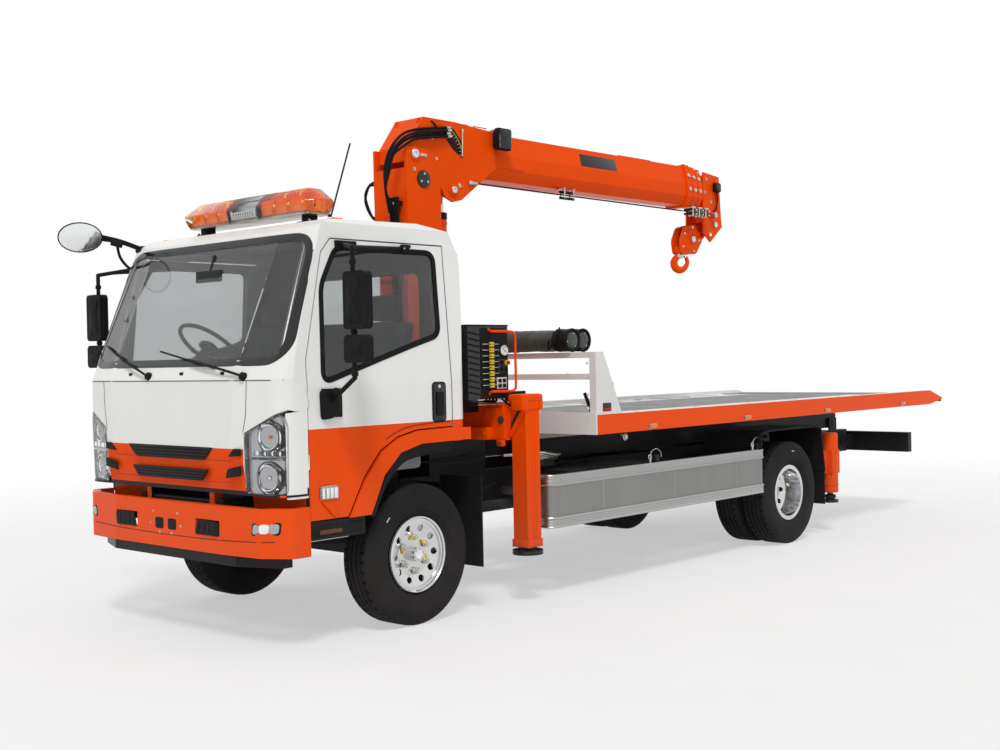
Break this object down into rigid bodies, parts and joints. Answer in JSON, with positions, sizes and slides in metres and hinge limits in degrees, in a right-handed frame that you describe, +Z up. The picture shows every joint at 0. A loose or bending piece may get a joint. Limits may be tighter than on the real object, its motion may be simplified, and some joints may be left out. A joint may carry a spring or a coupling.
{
  "type": "tow truck",
  "caption": "Flatbed recovery truck: tilting cab with opening doors, slewing telescopic crane with outriggers behind it, and a bed that slides back and tilts, with twin rear wheels.",
  "frame": {"origin": "on the ground, midway along and across the truck", "axes": "+X to the truck's left, +Y towards its tail, +Z up"},
  "size_m": [2.81, 8.2224, 3.268],
  "materials": {
    "chassis_black": "satin",
    "engine_grey": "rough",
    "cab_white": "gloss",
    "cab_two_tone": "gloss, orange below the belt line",
    "truck_orange": "gloss",
    "glass": "clear",
    "black_plastic": "matte",
    "lamp_clear": "clear over silver",
    "lamp_amber": "clear amber",
    "interior_grey": "matte",
    "tyre": "matte",
    "wheel_metal": "polished",
    "bed_aluminium": "satin",
    "bed_white": "gloss",
    "steel": "ground",
    "canvas": "waxed weave",
    "cabinet_grey": "satin"
  },
  "bodies": {
    "chassis": {"frame_rails": "chassis_black", "frame_crossmembers": "chassis_black", "engine": "engine_grey", "front_axle": "chassis_black", "rear_axle": "chassis_black", "rear_jack_housings": "truck_orange", "crane_base": "truck_orange", "front_bumper": "truck_orange", "side_guards": "bed_aluminium", "side_tanks": "chassis_black", "mudguards": "black_plastic", "rear_bar": "chassis_black", "control_cabinet": "cabinet_grey"},
    "cab": {"cab_roof": "cab_white", "cab_back": "cab_two_tone", "cab_floor": "cab_two_tone", "cab_front": "cab_two_tone", "cab_glass": "glass", "grille": "truck_orange", "cab_lamps": "lamp_clear", "cab_skirts": "black_plastic", "cab_interior": "interior_grey", "lightbar": "lamp_amber", "nose_mirror": "black_plastic"},
    "left_door": {"door_left": "cab_two_tone", "door_glass_left": "glass", "mirrors_left": "black_plastic"},
    "right_door": {"door_right": "cab_two_tone", "door_glass_right": "glass", "mirrors_right": "black_plastic"},
    "left_knuckle": {"knuckle_left": "chassis_black"},
    "right_knuckle": {"knuckle_right": "chassis_black"},
    "front_left_wheel": {"rim_front_left": "wheel_metal", "tyre_front_left": "tyre"},
    "front_right_wheel": {"rim_front_right": "wheel_metal", "tyre_front_right": "tyre"},
    "rear_left_wheels": {"rims_rear_left": "wheel_metal", "tyres_rear_left": "tyre"},
    "rear_right_wheels": {"rims_rear_right": "wheel_metal", "tyres_rear_right": "tyre"},
    "column": {"crane_column": "truck_orange"},
    "boom": {"boom_base": "truck_orange"},
    "stage_1": {"boom_stage_1": "truck_orange"},
    "stage_2": {"boom_stage_2": "truck_orange"},
    "stage_3": {"boom_stage_3": "truck_orange"},
    "hook": {"hook_block": "truck_orange"},
    "ram_barrel": {"luff_barrel": "truck_orange"},
    "ram_rod": {"luff_rod": "steel"},
    "left_outrigger": {"outrigger_beam_left": "truck_orange"},
    "right_outrigger": {"outrigger_beam_right": "truck_orange"},
    "left_jack": {"jack_left": "steel"},
    "right_jack": {"jack_right": "steel"},
    "rear_jacks": {"rear_jacks": "steel"},
    "tilt_frame": {"tilt_frame": "chassis_black"},
    "bed": {"bed_rails": "bed_white", "bed_floor": "bed_aluminium", "headboard": "bed_white", "winch": "chassis_black", "canvas_roll": "canvas"}
  },
  "joints": [
    {"name": "cab_tilt", "type": "hinge", "parent": "chassis", "child": "cab", "pos_m": [0, -3.965, 0.8], "axis": [1, 0, 0], "range_deg": [0, 40]},
    {"name": "door_left_swing", "type": "hinge", "parent": "cab", "child": "left_door", "pos_m": [0.997, -3.8275, 1.2], "axis": [0, 0, -1], "range_deg": [0, 70]},
    {"name": "door_right_swing", "type": "hinge", "parent": "cab", "child": "right_door", "pos_m": [-0.997, -3.8275, 1.2], "axis": [0, 0, 1], "range_deg": [0, 70]},
    {"name": "steer_left", "type": "hinge", "parent": "chassis", "child": "left_knuckle", "pos_m": [0.7, -2.965, 0.425], "axis": [0, 0, 1], "range_deg": [-35, 35]},
    {"name": "steer_right", "type": "hinge", "parent": "chassis", "child": "right_knuckle", "pos_m": [-0.7, -2.965, 0.425], "axis": [0, 0, 1], "range_deg": [-35, 35]},
    {"name": "front_left_spin", "type": "hinge", "parent": "left_knuckle", "child": "front_left_wheel", "pos_m": [0.84, -2.965, 0.425], "axis": [1, 0, 0], "continuous": true},
    {"name": "front_right_spin", "type": "hinge", "parent": "right_knuckle", "child": "front_right_wheel", "pos_m": [-0.84, -2.965, 0.425], "axis": [1, 0, 0], "continuous": true},
    {"name": "rear_left_spin", "type": "hinge", "parent": "chassis", "child": "rear_left_wheels", "pos_m": [0.825, 1.21, 0.425], "axis": [1, 0, 0], "continuous": true},
    {"name": "rear_right_spin", "type": "hinge", "parent": "chassis", "child": "rear_right_wheels", "pos_m": [-0.825, 1.21, 0.425], "axis": [1, 0, 0], "continuous": true},
    {"name": "slew", "type": "hinge", "parent": "chassis", "child": "column", "pos_m": [0, -2.09, 1.42], "axis": [0, 0, 1], "continuous": true},
    {"name": "luff", "type": "hinge", "parent": "column", "child": "boom", "pos_m": [0, -2.179, 2.998], "axis": [1, 0, 0], "range_deg": [0, 70]},
    {"name": "ram_swing", "type": "hinge", "parent": "column", "child": "ram_barrel", "pos_m": [0, -1.785, 1.8], "axis": [1, 0, 0], "range_deg": [0, 2.4]},
    {"name": "ram_stroke", "type": "slide", "parent": "ram_barrel", "child": "ram_rod", "axis": [0, 0, 1], "range_m": [0, 0.52]},
    {"name": "extend_1", "type": "slide", "parent": "boom", "child": "stage_1", "axis": [0, 1, 0], "range_m": [0, 1.9]},
    {"name": "extend_2", "type": "slide", "parent": "stage_1", "child": "stage_2", "axis": [0, 1, 0], "range_m": [0, 1.9]},
    {"name": "extend_3", "type": "slide", "parent": "stage_2", "child": "stage_3", "axis": [0, 1, 0], "range_m": [0, 1.9]},
    {"name": "hook_swing", "type": "hinge", "parent": "stage_3", "child": "hook", "pos_m": [0, 1.555, 2.665], "axis": [1, 0, 0], "range_deg": [0, 72]},
    {"name": "left_outrigger_slide", "type": "slide", "parent": "chassis", "child": "left_outrigger", "axis": [1, 0, 0], "range_m": [0, 0.6]},
    {"name": "right_outrigger_slide", "type": "slide", "parent": "chassis", "child": "right_outrigger", "axis": [-1, 0, 0], "range_m": [0, 0.6]},
    {"name": "left_jack_slide", "type": "slide", "parent": "left_outrigger", "child": "left_jack", "axis": [0, 0, -1], "range_m": [0, 0.3]},
    {"name": "right_jack_slide", "type": "slide", "parent": "right_outrigger", "child": "right_jack", "axis": [0, 0, -1], "range_m": [0, 0.3]},
    {"name": "rear_jacks_slide", "type": "slide", "parent": "chassis", "child": "rear_jacks", "axis": [0, 0, -1], "range_m": [0, 0.24]},
    {"name": "bed_tilt", "type": "hinge", "parent": "chassis", "child": "tilt_frame", "pos_m": [0, 3.135, 0.9], "axis": [-1, 0, 0], "range_deg": [0, 14]},
    {"name": "bed_slide", "type": "slide", "parent": "tilt_frame", "child": "bed", "axis": [0, 1, 0], "range_m": [0, 3]}
  ],
  "couplings": [
    {"joint": "steer_right", "follows": "steer_left", "ratio": 1},
    {"joint": "ram_swing", "follows": "luff", "ratio": 0.0323},
    {"joint": "ram_stroke", "follows": "luff", "m_per_rad": 0.4188},
    {"joint": "extend_2", "follows": "extend_1", "ratio": 1},
    {"joint": "extend_3", "follows": "extend_1", "ratio": 1},
    {"joint": "bed_tilt", "follows": "bed_slide", "rad_per_m": 0.0814}
  ]
}
